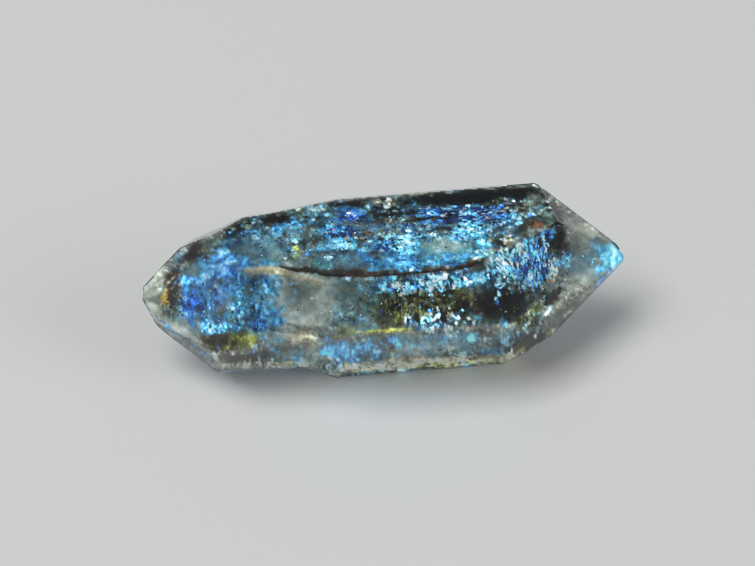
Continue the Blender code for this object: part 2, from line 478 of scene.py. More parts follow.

# Lines of each kind along a run of points, in pixels: half width, how much more, points. Some are
# painted highlights along edges and outlines, and some painted shade along a ridge, as marked.
STROKES_AND_PAINTED_EDGES = {
    "bitumen": (
        # The first line runs along the ridge between the top and front faces: painted shade in the
        # crease.
        (1.3, 1.5, ((285, 269), (310, 272), (333, 276), (385, 275), (425, 273), (483, 263))),
        (1.3, 1.4, ((422, 219), (446, 216), (472, 214))),
        (1.0, 1.2, ((405, 214), (432, 211), (462, 208))), (1.4, 1.8, ((547, 197), (563, 224))),
        (2.4, 1.9, ((511, 350), (524, 341), (541, 335))), (1.8, 1.9, ((547, 305), (560, 288))),
        (1.4, 2.0, ((218, 358), (244, 356), (264, 353))),
        (1.2, 1.5, ((520, 353), (548, 335), (566, 318))),
    ),
    "umber": (
        # The first three lines darken the same ridge as painted shade; the others are brown streaks.
        (3.6, 1.4, ((304, 270), (333, 274), (360, 274))), (1.6, 1.2, ((280, 268), (304, 270))),
        (2.6, 1.6, ((360, 274), (425, 273), (483, 263))), (1.6, 0.7, ((301, 296), (300, 336))),
        (1.4, 0.6, ((318, 290), (318, 330))),
    ),
    "lime": (
        (1.4, 1.0, ((334, 336), (355, 333), (385, 331), (412, 329))),
        # The next two lines are painted highlights: pale yellow rims along the bottom and lower right
        # outline.
        (2.0, 1.5, ((345, 370), (420, 366), (508, 360))),
        (1.4, 2.2, ((508, 357), (535, 344), (556, 328))),
    ),
    "navy": (
        (1.4, 0.8, ((203, 268), (203, 318))), (1.2, 0.7, ((216, 266), (215, 312))),
        (1.8, 1.3, ((403, 224), (440, 221), (478, 219))), (1.8, 1.3, ((156, 318), (214, 362))),
    ),
    "cyan": (
        (1.2, 0.6, ((209, 272), (209, 322))), (1.5, 0.8, ((239, 274), (240, 328))),
        (1.3, 1.3, ((383, 238), (402, 237), (424, 236))), (1.2, 1.2, ((212, 354), (222, 353))),
    ),
    "slate": (
        (1.6, 0.9, ((225, 268), (226, 330))), (2.2, 0.8, ((272, 282), (271, 332))),
        (3.0, 1.1, ((345, 231), (372, 228), (402, 226))),
    ),
    "tan_and_painted_highlight": (
        (1.6, 0.7, ((313, 285), (312, 340))),
        # Painted highlight: a cream line along the ridge between the top and front faces.
        (3.0, 1.7, ((246, 270), (272, 271), (292, 276), (322, 284))),
        (1.8, 1.3, ((391, 334), (450, 330), (500, 326), (521, 321))),
        # The next two lines are painted highlights: pale rims along the bottom and lower right outline.
        (4.5, 2.3, ((345, 367), (420, 363), (508, 357))),
        (3.2, 2.2, ((508, 359), (535, 347), (562, 326))),
        (1.3, 1.9, ((222, 353), (246, 351), (262, 349))),
        # Painted highlight: a pale rim along the bottom outline.
        (1.4, 2.0, ((216, 364), (250, 363), (300, 363))),
        (1.0, 1.7, ((163, 294), (168, 283), (176, 276), (183, 274))),
        (0.9, 1.3, ((170, 294), (177, 284), (183, 280))),
    ),
    "azure": (
        (2.0, 0.9, ((400, 263), (440, 260), (478, 254))),
    ),
    "frost_and_painted_rim_light": (
        # All five lines are painted highlights: pale light along the bottom, left and lower right
        # outline, and along the ridge.
        (3.5, 1.6, ((213, 366), (300, 367), (322, 370), (336, 376))),
        (1.6, 1.2, ((483, 263), (520, 240), (549, 226))),
        (7.0, 1.2, ((150, 308), (170, 328), (218, 358))),
        (5.0, 0.9, ((150, 285), (162, 268), (187, 246), (245, 220))),
        (4.0, 1.0, ((608, 270), (575, 305), (540, 340), (508, 360))),
    ),
    "ultramarine": (
        # Painted highlight: a blue line along the lower right outline.
        (2.5, 1.7, ((620, 264), (600, 285), (562, 330))),
    ),
    "painted_glint": (
        (1.2, 1.4, ((540, 322), (551, 306))), (1.0, 2.2, ((512, 352), (520, 347))),
        (1.0, 2.2, ((535, 336), (544, 327))),
    ),
    "gold": (
        (1.0, 1.2, ((161, 300), (166, 292), (171, 288))),
    ),
    "olive": (
        (4.0, 1.2, ((523, 320), (541, 306))),
    ),
    "smoke": (
        (1.6, 0.9, ((245, 215), (330, 202), (450, 189), (540, 186))),
        # Painted highlight: a grey line along the upper right outline.
        (5.0, 1.0, ((545, 192), (575, 213), (610, 242))),
    ),
}

# Where the flecks are larger, in pixels as above.
COARSE = (
    (445, 283, 50, 7, -4, 0.7), (500, 264, 16, 12, 0, 0.9), (402, 246, 16, 9, 0, 0.8),
    (468, 229, 14, 9, 0, 0.8), (345, 245, 14, 7, 0, 0.6), (497, 213, 18, 9, 0, 0.8),
    (436, 317, 24, 6, -5, 1.0), (238, 300, 10, 26, 0, 0.6), (213, 328, 12, 6, 0, 0.6),
    (344, 234, 16, 6, 0, 0.9), (352, 215, 10, 6, 0, 0.6), (535, 262, 20, 24, 0, 0.8),
)


def lattice_noise(x, y, seed, octaves=4):
    """Fractal value noise over arrays, spread from about 0 to 1."""
    total = np.zeros_like(x, dtype=float)
    weight, size = 1.0, 0.0
    for octave in range(octaves):
        table = np.random.default_rng(seed * 31 + octave).random((64, 64))
        cell_x, cell_y = np.floor(x).astype(int), np.floor(y).astype(int)
        part_x, part_y = x - cell_x, y - cell_y
        part_x = part_x * part_x * (3 - 2 * part_x)
        part_y = part_y * part_y * (3 - 2 * part_y)

        def corner(dx, dy):
            return table[(cell_x + dx) % 64, (cell_y + dy) % 64]

        low = corner(0, 0) * (1 - part_x) + corner(1, 0) * part_x
        high = corner(0, 1) * (1 - part_x) + corner(1, 1) * part_x
        total += weight * (low * (1 - part_y) + high * part_y)
        size += weight
        weight *= 0.6
        x, y = x * 2.03 + 11.7, y * 2.03 + 5.3
    return total / size


# The spots and lines are bent out of true by up to half of this many pixels, in waves of the
# given length.
WARP = 5
WARP_LENGTH = 9
# How far they have faded at their half sizes and widths, as a power of e.
FADING = 0.8


def turned(x, y, turn):
    """How far places lie along a line turned by so many degrees, and across it."""
    angle = radians(turn)
    return x * cos(angle) + y * sin(angle), -x * sin(angle) + y * cos(angle)


def spot_strength(x, y, spot):
    middle_x, middle_y, half_x, half_y, turn, more = spot
    along, across = turned(x - middle_x, y - middle_y, turn)
    return more * np.exp(-(((along / half_x) ** 2 + (across / half_y) ** 2) ** 1.3) * FADING)


def all_spots(x, y, spots):
    return sum(spot_strength(x, y, spot) for spot in spots)


def stroke_strength(x, y, half_width, more, points):
    nearest = np.full(x.shape, np.inf)
    for (ax, ay), (bx, by) in zip(points, points[1:]):
        length = (bx - ax) ** 2 + (by - ay) ** 2
        share = np.clip(((x - ax) * (bx - ax) + (y - ay) * (by - ay)) / length, 0, 1)
        nearest = np.minimum(nearest, np.hypot(x - ax - share * (bx - ax), y - ay - share * (by - ay)))
    return more * np.exp(-((nearest / half_width) ** 2.4) * FADING)


def strengths(x, y):
    """How strongly each kind is present at pixels, as an array with the kinds first."""
    warp_x, warp_y = (
        place + WARP * (lattice_noise(x / WARP_LENGTH, y / WARP_LENGTH, seed, 3) - 0.5)
        for place, seed in ((x, 301), (y, 302))
    )
    found = []
    for kind, (_, _, ready) in KINDS.items():
        total = np.full(x.shape, ready)
        for spot in SPOTS[kind]:
            total += spot_strength(warp_x, warp_y, spot)
        for half_width, more, points in STROKES_AND_PAINTED_EDGES.get(kind, ()):
            total += stroke_strength(warp_x, warp_y, half_width, more, points)
        found.append(total)
    return np.stack(found)


SRGB = np.array([colour for colour, _, _ in KINDS.values()], dtype=float)
PAINTED_GLOW = np.array([glow for _, glow, _ in KINDS.values()])
NAMES = list(KINDS)


def to_linear(srgb):
    share = np.clip(srgb / 255, 0, 1)
    return np.where(share <= 0.04045, share / 12.92, ((share + 0.055) / 1.055) ** 2.4)


# The part of the photograph that the crystal fills, and the mesh size of the film, in pixels.
LEFT, RIGHT_EDGE, TOP, BOTTOM = 140, 630, 178, 382
STEP = 1.0
# Flat faces that show in fewer pixels get no film.
SMALLEST_FACET = 100
# A film reaches this many pixels past its face, except over an edge that bends away by more than
# the least drop.
FACET_MARGIN = 2
LEAST_DROP = 0.012 * MM
# From this height of their unit normal on, faces count as top faces.
TOP_FACING = 0.75
FILM_THICKNESS = 0.015 * MM
# How deep the film lies in open places and at sharp edges, and over how many pixels it changes.
DEEPEST, SHALLOWEST = 2.4 * MM, 0.16 * MM
EASING = 34
# It keeps this share of the way through the crystal in front of it at most, and this far inside.
FARTHEST_SHARE = 0.6
LEAST_COVER = 0.045 * MM
# Its waves: their size in pixels, and their height as a share of its depth.
WAVE_WIDTH, WAVE_HEIGHT, WAVINESS = 35, 25, 0.5
SHEET_SEED = 1000


def pixel_grid():
    return np.meshgrid(
        np.arange(LEFT, RIGHT_EDGE, STEP), np.arange(TOP, BOTTOM, STEP), indexing="ij"
    )


class View:
    """A grid of pixels, the face that the camera sees at each one, and the way through to its back."""

    def __init__(self):
        self.x, self.y = pixel_grid()
        self.point = np.full((*self.x.shape, 3), np.nan)
        self.normal = np.zeros((*self.x.shape, 3))
        self.length = np.full(self.x.shape, 2 * MM)
        for i, j in np.ndindex(self.x.shape):
            found = look.enter(self.x[i, j], self.y[i, j])
            if found is not None:
                self.point[i, j], _, self.normal[i, j], self.length[i, j] = found
        self.hit = ~np.isnan(self.point[..., 0])
        self.edge_distance = self.distance_to_edges()

    def distance_to_edges(self):
        """The distance in pixels to the nearest sharp edge or outline that the camera sees."""
        change = np.zeros(self.x.shape, bool)
        for axis in (0, 1):
            ahead = np.roll(self.normal, -1, axis)
            change |= (self.normal * ahead).sum(-1) < cos(radians(20))
        change &= self.hit | np.roll(self.hit, -1, 0) | np.roll(self.hit, -1, 1)
        tree = KDTree(int(change.sum()))
        for index, (x, y) in enumerate(zip(self.x[change], self.y[change])):
            tree.insert((x, y, 0), index)
        tree.balance()
        near = np.zeros(self.x.shape)
        for i, j in np.argwhere(self.hit):
            near[i, j] = tree.find((self.x[i, j], self.y[i, j], 0))[2]
        return near

    def facets(self):
        """Each flat face that shows, as (normal, a point on it, its pixels and a few around them)."""
        key = np.round(self.normal * 40).astype(int)
        key = key[..., 0] * 10000 + key[..., 1] * 100 + key[..., 2]
        for value in np.unique(key[self.hit]):
            own = self.hit & (key == value)
            if own.sum() > SMALLEST_FACET:
                normal, on_face = self.normal[own][0], self.point[own][0]
                above = np.nan_to_num((self.point - on_face) @ normal, nan=-1) > -LEAST_DROP
                yield normal, on_face, own | (widened(own, FACET_MARGIN) & above)


def widened(mask, times):
    for _ in range(times):
        padded = np.pad(mask, 1)
        mask = (
            padded[1:-1, 1:-1] | padded[:-2, 1:-1] | padded[2:, 1:-1]
            | padded[1:-1, :-2] | padded[1:-1, 2:]
        )
    return mask


def rays_through(x, y, normal, on_face):
    """Where the camera's rays through pixels meet a face's plane, and their way on behind it."""
    across, upward = ray_slopes(x, y)
    ray = across[..., None] * np.array(RIGHT) + upward[..., None] * np.array(UP) - np.array(BACK)
    ray /= np.linalg.norm(ray, axis=-1)[..., None]
    facing = -(ray @ normal)
    reach = ((on_face - np.array(EYE)) @ normal) / -facing
    point = np.array(EYE) + ray * reach[..., None]
    ratio = 1 / QUARTZ_IOR
    bend = ratio * facing - np.sqrt(1 - ratio * ratio * (1 - facing * facing))
    return point, ray * ratio + bend[..., None] * normal


def all_corners(test):
    return test[:-1, :-1] & test[1:, :-1] & test[:-1, 1:] & test[1:, 1:]


def slab(grid, way, cells):
    """Corners, faces and the corners' grid places of the chosen cells as a thin closed slab."""
    width = grid.shape[1]
    number = np.arange(grid.shape[0] * width).reshape(grid.shape[:2])
    front = grid.reshape(-1, 3)
    back = front + way.reshape(-1, 3) * FILM_THICKNESS
    far = len(front)
    a, b = number[:-1, :-1][cells], number[1:, :-1][cells]
    c, d = number[1:, 1:][cells], number[:-1, 1:][cells]
    quads = [np.stack([a, b, c, d], 1), np.stack([d, c, b, a], 1) + far]
    padded = np.pad(cells, 1)
    core = padded[1:-1, 1:-1]
    for beside, first, second in (
        (padded[:-2, 1:-1], number[:-1, :-1], number[:-1, 1:]),
        (padded[2:, 1:-1], number[1:, 1:], number[1:, :-1]),
        (padded[1:-1, :-2], number[1:, :-1], number[:-1, :-1]),
        (padded[1:-1, 2:], number[:-1, 1:], number[1:, 1:]),
    ):
        rim = core & ~beside
        p, q = first[rim], second[rim]
        quads.append(np.stack([p, q, q + far, p + far], 1))
    used, faces = np.unique(np.concatenate(quads), return_inverse=True)
    return np.concatenate([front, back])[used], faces.reshape(-1, 4), used % far


def film_piece(name, corners, faces, uv, material):
    """A piece from arrays: corners, faces of one kind, and each corner's place in its UV map."""
    mesh = bpy.data.meshes.new(name)
    sides = faces.shape[1]
    mesh.vertices.add(len(corners))
    mesh.vertices.foreach_set("co", corners.astype(np.float32).ravel())
    mesh.loops.add(faces.size)
    mesh.loops.foreach_set("vertex_index", faces.astype(np.int32).ravel())
    mesh.polygons.add(len(faces))
    mesh.polygons.foreach_set("loop_start", np.arange(0, faces.size, sides, dtype=np.int32))
    mesh.update(calc_edges=True)
    mesh.validate()
    layer = mesh.uv_layers.new(name="OFBake")
    layer.uv.foreach_set("vector", uv[faces.ravel()].astype(np.float32).ravel())
    mesh.materials.append(material)
    made = link(name, mesh)
    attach(made, "root")
    return made


def colour_attribute(mesh, name, colours):
    layer = mesh.color_attributes.new(name, "FLOAT_COLOR", "POINT")
    whole = np.ones((len(colours), 4), np.float32)
    whole[:, :3] = colours
    layer.data.foreach_set("color", whole.ravel())


def film_material(name):
    material, tree, shader = node_tree(name)
    # Painted glow: the film's emission is its colour times its glow share, though it is no lamp.
    for name, target in (("film_colour", "Base Color"), ("film_painted_glow", "Emission Color")):
        own = tree.nodes.new("ShaderNodeAttribute")
        own.attribute_name = name
        tree.links.new(own.outputs["Color"], shader.inputs[target])
    shader.inputs["Emission Strength"].default_value = 1
    shader.inputs["Roughness"].default_value = 0.5
    shader.inputs["Specular IOR Level"].default_value = 0.15
    return material


# How blue the kinds of the glowing film are, from ultramarine at 0 to cyan at 1, and how bright
# they are; that brightness sets the film's colour and its painted glow.
GLOWING = {
    "navy": (0.35, 0.18),
    "ultramarine": (0.0, 0.42),
    "azure": (0.72, 0.42),
    "cyan": (1.0, 0.66),
    "painted_glint": (0.9, 0.95),
}
# The glowing film from dim to bright as sRGB, at both ends of the hue; the same colour is its
# painted glow.
BRIGHTNESS_STOPS = (0.0, 0.22, 0.45, 0.66, 0.84, 1.0)
ULTRAMARINE_RAMP = (
    (14, 16, 24), (28, 42, 84), (48, 88, 172), (88, 138, 222), (160, 192, 246), (244, 248, 255),
)
CYAN_RAMP = (
    (14, 20, 22), (40, 76, 90), (70, 140, 162), (104, 198, 214), (176, 236, 240), (248, 253, 255),
)
# Kinds that keep the glowing film, with its painted glow, away, and how much.
DULLING = {
    "bitumen": 1.0, "milk": 0.75, "frost_and_painted_rim_light": 0.95, "smoke": 0.8, "olive": 0.8, "umber": 0.8, "tan_and_painted_highlight": 0.7,
    "rust": 0.8, "gold": 0.9, "lime": 0.9, "pink": 0.7,
}
# Where the inclusions are crisp flecks, and with less than nothing where they are a soft haze.
CRISPNESS = 0.54
LEAST_CRISP = 0.06
# How much that changes by itself, from patch to patch of this size in pixels.
PATCHINESS = 0.9
PATCHES_WIDTH, PATCHES_HEIGHT = 24, 15
# How mixed the kinds are in the haze and in the flecks.
SOFT_DETAIL, HARD_DETAIL = 0.55, 2.1
# How far the flecks differ in brightness, and how dark their rims are, as shares.
LEVEL_SPREAD = 2.1
RIM_DARKNESS = 0.85
RIM_WIDTH = 0.15
# Fine grain and broader shade: their size in pixels, how strong they are in the haze, and how much
# stronger in the flecks.
GRAIN_SIZE, GRAIN_IN_HAZE, GRAIN_IN_FLECKS = 1.7, 0.1, 1.9
SHADE_WIDTH, SHADE_HEIGHT, SHADE_IN_HAZE, SHADE_IN_FLECKS = 8, 6, 0.45, 1.1
# How much the film's dark places are darkened, and the brightness in sRGB below which it starts.
DEEPENING = 0.42
DARK_BELOW = 118
CRISP = (
    (213, 285, 40, 38, 0, -0.4), (352, 302, 40, 26, 0, -0.25), (240, 356, 30, 7, 0, 0.2),
    (338, 349, 28, 9, -3, -0.4), (440, 345, 60, 14, -4, -0.25), (588, 262, 20, 36, 0, -0.5),
    (610, 257, 16, 18, 0, -0.55), (375, 227, 32, 6, -4, -0.3), (425, 256, 28, 6, -4, -0.25),
    (350, 264, 28, 9, 0, -0.3), (292, 305, 42, 38, 0, -0.45), (448, 247, 28, 10, 0, -0.35),
    (152, 296, 14, 30, 0, -0.45), (185, 335, 30, 12, 38, -0.4), (222, 222, 50, 7, -24, -0.3),
    (258, 247, 34, 14, -8, -0.28), (330, 236, 34, 12, -5, -0.15), (432, 283, 60, 9, -4, 0.5),
    (535, 262, 22, 24, 0, 0.5), (500, 264, 14, 11, 0, 0.5), (402, 246, 18, 9, 0, 0.2),
    (468, 229, 16, 9, 0, 0.3), (460, 213, 62, 10, -4, 0.35), (438, 318, 26, 6, 0, 0.5),
    (425, 305, 44, 14, 0, 0.3), (245, 229, 28, 9, -20, 0.35), (198, 253, 16, 8, -35, 0.4),
    (239, 300, 9, 28, 0, 0.3), (170, 290, 12, 18, 20, 0.7), (430, 364, 80, 4, -4, 0.1),
    (528, 340, 24, 12, -32, 0.5), (385, 205, 19, 7, 0, 0.4), (250, 345, 30, 8, 0, 0.3),
    (345, 234, 20, 8, 0, 0.3),
)
# Painted light and shade on the film: where it is painted lighter, as a power of e, to stand for more
# light reaching it, and with less than nothing painted darker, as painted shade.
PAINTED_LIGHT_AND_SHADE = (
    (430, 347, 88, 12, -4, 0.35), (430, 365, 88, 4, -4, 0.45), (322, 358, 24, 12, 0, 0.2),
    (588, 262, 20, 38, 0, 0.25), (535, 258, 22, 26, 0, 0.15), (187, 295, 16, 28, 0, 0.25),
    (450, 247, 28, 10, -4, 0.36), (152, 296, 14, 32, 0, 0.1), (245, 230, 32, 11, -22, -0.25),
    (192, 252, 16, 8, -35, -0.2), (430, 282, 52, 8, -4, 0.12), (226, 345, 30, 10, 0, -0.1),
    (276, 304, 8, 34, 0, -0.06), (304, 308, 18, 34, 0, -0.04), (345, 305, 16, 26, 0, 0.14),
    (352, 350, 16, 9, 0, -0.22), (305, 341, 18, 8, 0, 0.06), (275, 342, 14, 7, 0, 0.06),
    (260, 365, 45, 4, 2, 0.3), (280, 234, 24, 8, -5, 0.2), (262, 250, 26, 13, 0, 0.08),
    (331, 231, 15, 10, 0, 0.08), (554, 280, 9, 20, 0, 0.25), (348, 258, 18, 10, 0, 0.1),
    (351, 214, 18, 9, 0, -0.15), (213, 290, 36, 34, 0, -0.08),
)
# Where flecks are long: the spot in pixels, then the fleck's length, width and turn.
LONG_FLECKS = (
    ((535, 262, 20, 24, 0, 1), 6.5, 2.2, 80), ((566, 262, 9, 9, 0, 1), 8.0, 2.2, 86),
    ((501, 264, 13, 10, 0, 1), 8.0, 2.0, 40), ((432, 283, 54, 8, -4, 1), 4.6, 3.2, 70),
    ((400, 314, 24, 16, 0, 1), 9.0, 2.6, 88), ((460, 213, 62, 10, -4, 1), 6.5, 2.6, -4),
    ((214, 292, 16, 20, 0, 1), 8.0, 2.6, 88), ((425, 365, 92, 5, -4, 1), 10.0, 1.7, -4),
    ((170, 288, 12, 20, 20, 1), 7.0, 1.8, -55), ((195, 252, 14, 8, -35, 1), 5.0, 2.4, -35),
)
TOP_FLECK = (5.0, 2.8, -4)
FRONT_FLECK = (4.4, 2.8, 86)
LONG_ENOUGH = 0.4


def fleck_cells(x, y, length, width, turn, seed):
    """Cells of about the given size around scattered middles: each pixel's middle and border distance."""
    along, across = turned(x, y, turn)
    along, across = along / length, across / width
    jitter = np.random.default_rng(seed).random((2, 97, 89))
    near = np.full(x.shape, np.inf)
    second = np.full(x.shape, np.inf)
    middle_along, middle_across = along.copy(), across.copy()
    for di in (-1, 0, 1):
        for dj in (-1, 0, 1):
            i, j = np.floor(along).astype(int) + di, np.floor(across).astype(int) + dj
            u = i + jitter[0, i % 97, j % 89]
            v = j + jitter[1, i % 97, j % 89]
            gap = np.hypot(along - u, across - v)
            closer = gap < near
            second = np.where(closer, near, np.minimum(second, gap))
            middle_along = np.where(closer, u, middle_along)
            middle_across = np.where(closer, v, middle_across)
            near = np.where(closer, gap, near)
    return *turned(middle_along * length, middle_across * width, -turn), second - near


def fleck_pattern(x, y, top, seed):
    """Each pixel's fleck: its middle, the distance to its border, and a random share of its own."""
    parts = []
    for length, width, turn in (TOP_FLECK, FRONT_FLECK):
        parts.append(fleck_cells(x, y, length, width, turn, seed + len(parts)))
    chosen = [np.where(top, above, below) for above, below in zip(*parts)]
    for spot, length, width, turn in LONG_FLECKS:
        parts.append(fleck_cells(x, y, length, width, turn, seed + len(parts)))
        here = spot_strength(x, y, spot) > LONG_ENOUGH
        chosen = [np.where(here, own, kept) for own, kept in zip(parts[-1], chosen)]
    middle_x, middle_y, border = chosen
    share = np.abs(np.sin(middle_x * 12.9898 + middle_y * 78.233) * 43758.5453) % 1
    return middle_x, middle_y, border, share


def ramp_colour(level, ramp):
    return np.stack(
        [np.interp(level, BRIGHTNESS_STOPS, [stop[channel] for stop in ramp]) for channel in range(3)], -1
    )


# The patches in which a kind prevails: their size in pixels, and how much it varies. The finer ones
# in them have the second and third widths and heights, on the top faces and on the others.
PATCH_WIDTH, PATCH_HEIGHT, PATCH_WEIGHT = 13, 10, 1.2
TOP_DETAIL = (5.0, 3.2)
FRONT_DETAIL = (3.2, 5.5)
# The dull kinds count against the glowing film from the first strength on, and the glowing kinds
# for it from the second on.
DULLING_START, GLOWING_START = 0.1, -0.35
# How far the strongest of the plain kinds covers the others.
PREVAILING = 4
# How the glowing film grows with its strength, and from which on, and how much dulling takes away.
FILM_GAIN, FILM_START, FILM_LOSS = 1.1, 0.65, 0.9
# The share of the glowing film's colour that is painted glow.
FILM_PAINTED_GLOW = 0.45


def blended(x, y, top, seed, detail):
    """sRGB colours and painted glow at pixels, with the kinds mixed the more the higher the detail."""
    score = strengths(x, y)
    along, across = (np.where(top, *sizes) for sizes in zip(TOP_DETAIL, FRONT_DETAIL))
    glowing = [NAMES.index(kind) for kind in GLOWING]
    for index in range(len(NAMES)):
        coarse = lattice_noise(x / PATCH_WIDTH, y / PATCH_HEIGHT, seed + 40 + index, 3)
        fine = lattice_noise(x / along, y / across, seed + 80 + index, 2)
        score[index] += PATCH_WEIGHT * (coarse - 0.5) + detail * (fine - 0.5)
    dull = sum(
        share * np.clip(score[NAMES.index(kind)] - DULLING_START, 0, 1)
        for kind, share in DULLING.items()
    )
    own = np.clip(score[glowing] - GLOWING_START, 0.02, None)
    total = own.sum(0)
    hue = np.tensordot([hue for hue, _ in GLOWING.values()], own, (0, 0)) / total
    level = np.tensordot([level for _, level in GLOWING.values()], own, (0, 0)) / total
    swing = lattice_noise(x / (along * 0.8), y / (across * 0.8), seed + 21, 3) - 0.5
    level = np.clip(level + (0.5 + 0.5 * detail) * swing + 0.1 * (total - 1.0), 0, 1)
    glow_colour = (
        ramp_colour(level, ULTRAMARINE_RAMP) * (1 - hue)[..., None]
        + ramp_colour(level, CYAN_RAMP) * hue[..., None]
    )
    plain = [index for index, kind in enumerate(NAMES) if kind not in GLOWING]
    share = np.exp(score[plain] * PREVAILING)
    share = share / share.sum(0)
    haze_colour = np.tensordot(share, SRGB[plain], (0, 0))
    haze_glow = np.tensordot(share, PAINTED_GLOW[plain], (0, 0))
    presence = np.clip(FILM_GAIN * (total - FILM_START) - FILM_LOSS * dull, 0, 1)
    colour = haze_colour + (glow_colour - haze_colour) * presence[..., None]
    glow = haze_glow + (FILM_PAINTED_GLOW - haze_glow) * presence
    return colour, glow


def film_colours(x, y, top, seed):
    """Linear colours and painted glow at pixels: a haze with crisp flecks in it, and painted light and
    shade.
    """
    crisp = CRISPNESS + all_spots(x, y, CRISP)
    patches = lattice_noise(x / PATCHES_WIDTH, y / PATCHES_HEIGHT, seed + 9, 2)
    crisp += PATCHINESS * (patches - 0.5)
    crisp = np.clip(crisp, LEAST_CRISP, 1)
    middle_x, middle_y, border, own = fleck_pattern(x, y, top, seed)
    soft, soft_glow = blended(x, y, top, seed, SOFT_DETAIL)
    hard, hard_glow = blended(middle_x, middle_y, top, seed, HARD_DETAIL)
    mix = np.clip(crisp * 1.5 - 0.9 * own, 0, 1)
    edge = 1 - RIM_DARKNESS * crisp * np.exp(-border / RIM_WIDTH)
    own_level = np.exp(LEVEL_SPREAD * crisp * (own * 7 % 1 - 0.45)) * edge
    colour = soft + (hard * own_level[..., None] - soft) * mix[..., None]
    deepening = DEEPENING * (0.75 + 0.6 * crisp[..., None])
    colour = colour * np.minimum(colour / DARK_BELOW, 1) ** deepening
    # Painted light and shade, from the spots above.
    colour = colour * np.exp(all_spots(x, y, PAINTED_LIGHT_AND_SHADE))[..., None]
    glow = soft_glow + (hard_glow - soft_glow) * mix
    grain = lattice_noise(x / GRAIN_SIZE, y / GRAIN_SIZE, seed + 7, 2) - 0.5
    broad = lattice_noise(x / SHADE_WIDTH, y / SHADE_HEIGHT, seed + 8, 2) - 0.5
    shade = np.exp((GRAIN_IN_HAZE + GRAIN_IN_FLECKS * crisp) * grain)
    shade *= np.exp((SHADE_IN_HAZE + SHADE_IN_FLECKS * crisp) * broad - 0.05)
    return to_linear(colour * shade[..., None]), glow


def film_depth(view):
    wave = lattice_noise(view.x / WAVE_WIDTH, view.y / WAVE_HEIGHT, SHEET_SEED + 5, 3) - 0.5
    ease = np.clip(view.edge_distance / EASING, 0, 1)
    depth = SHALLOWEST + (DEEPEST - SHALLOWEST) * ease * ease * (3 - 2 * ease)
    return np.minimum(depth * (1 + WAVINESS * wave), view.length * FARTHEST_SHARE)


def film_slabs(view):
    """The film under every face that the camera sees, apart for the top faces and the others."""
    depth = film_depth(view)
    groups = {"top": [], "front": []}
    for normal, on_face, region in view.facets():
        point, way = rays_through(view.x, view.y, normal, on_face)
        grid = point + way * depth[..., None]
        inside = np.zeros(view.x.shape, bool)
        for i, j in np.argwhere(region):
            inside[i, j] = look.depth_inside(grid[i, j]) > LEAST_COVER
        cells = all_corners(region & inside)
        if cells.any():
            groups["top" if normal[2] > TOP_FACING else "front"].append(slab(grid, way, cells))
    return groups


def film_sheets():
    """Wavy sheets of petroleum, coloured by the pixel at which the camera sees them."""
    view = View()
    x, y = view.x, view.y
    colour, glow = film_colours(x, y, view.normal[..., 2] > TOP_FACING, SHEET_SEED)
    uv = np.stack([(x - LEFT) / (RIGHT_EDGE - LEFT), (y - TOP) / (RIGHT_EDGE - LEFT)], -1)
    for side, slabs in film_slabs(view).items():
        corners, faces, source = [], [], []
        for own_corners, own_faces, own_source in slabs:
            faces.append(own_faces + sum(len(c) for c in corners))
            corners.append(own_corners)
            source.append(own_source)
        faces, source = np.concatenate(faces), np.concatenate(source)
        name = "petroleum_sheet_" + side
        own_uv = uv.reshape(-1, 2)[source]
        made = film_piece(name, np.concatenate(corners), faces, own_uv, film_material(name))
        flat = colour.reshape(-1, 3)[source]
        colour_attribute(made.data, "film_colour", flat)
        # The film's painted glow: its colour times its glow share.
        colour_attribute(made.data, "film_painted_glow", flat * glow.reshape(-1)[source][:, None])


# Flecks

# Kinds that lie as flecks: how many there are everywhere, how many more per unit of strength, and
# the usual half size in mm.
FLECKS = {
    "bitumen": (0.035, 0.10, 0.06),
    "umber": (0.02, 0.08, 0.06),
    "frost_and_painted_rim_light": (0.006, 0.05, 0.045),
    "teal": (0.01, 0.15, 0.07),
    "navy": (0.012, 0.35, 0.07),
    "ultramarine": (0.002, 0.3, 0.06),
    "azure": (0.01, 0.3, 0.065),
    "cyan": (0.014, 0.6, 0.05),
    "painted_glint": (0.016, 0.8, 0.036),
    "olive": (0.0, 0.12, 0.07),
    "lime": (0.002, 0.4, 0.05),
    "gold": (0.001, 0.5, 0.055),
    "rust": (0.001, 0.25, 0.07),
    "tan_and_painted_highlight": (0.004, 0.12, 0.055),
    "pink": (0.001, 0.25, 0.06),
}
NO_FLECKS = (0.0, 0.0, 0.0)
RIM_SIDES = 4
# A fleck's half thickness as a share of its half size.
FLECK_THICKNESS = 0.25
# How far flecks of a kind differ in size as a power of e, how far long ones are turned out of
# line, in radians, and how far all are tipped out of the face that they lie under.
SIZE_SPREAD, TURN_SPREAD, TIP_SPREAD = 0.35, 0.15, 0.4
# They lie in clumps of this size in pixels.
CLUMP_WIDTH, CLUMP_HEIGHT = 4.5, 3.5
# The beds: how many places are tried, how deep they lie at least and at most, and the seed.
FLECK_BEDS = {
    "flecks_deep": (60000, 1.0 * MM, 2.0 * MM, 21),
    "flecks_near": (40000, 0.4 * MM, 1.2 * MM, 22),
}
# Kinds that keep the other flecks away, and how much.
HUSHING = {"milk": 0.8, "frost_and_painted_rim_light": 0.9, "smoke": 0.6, "bitumen": 0.8}
# A fleck lies at most this share of the way through, and this far from every face.
FLECK_SHARE = 0.7
FLECK_COVER = 0.12 * MM


def into_crystal(x, y, reach):
    """(point, direction inside) at a reach behind a pixel, or None where that is too near a face."""
    found = look.enter(x, y)
    if found is None:
        return None
    point, inside, _, length = found
    here = point + inside * min(reach, FLECK_SHARE * length)
    return (here, inside) if look.depth_inside(here) > FLECK_COVER else None


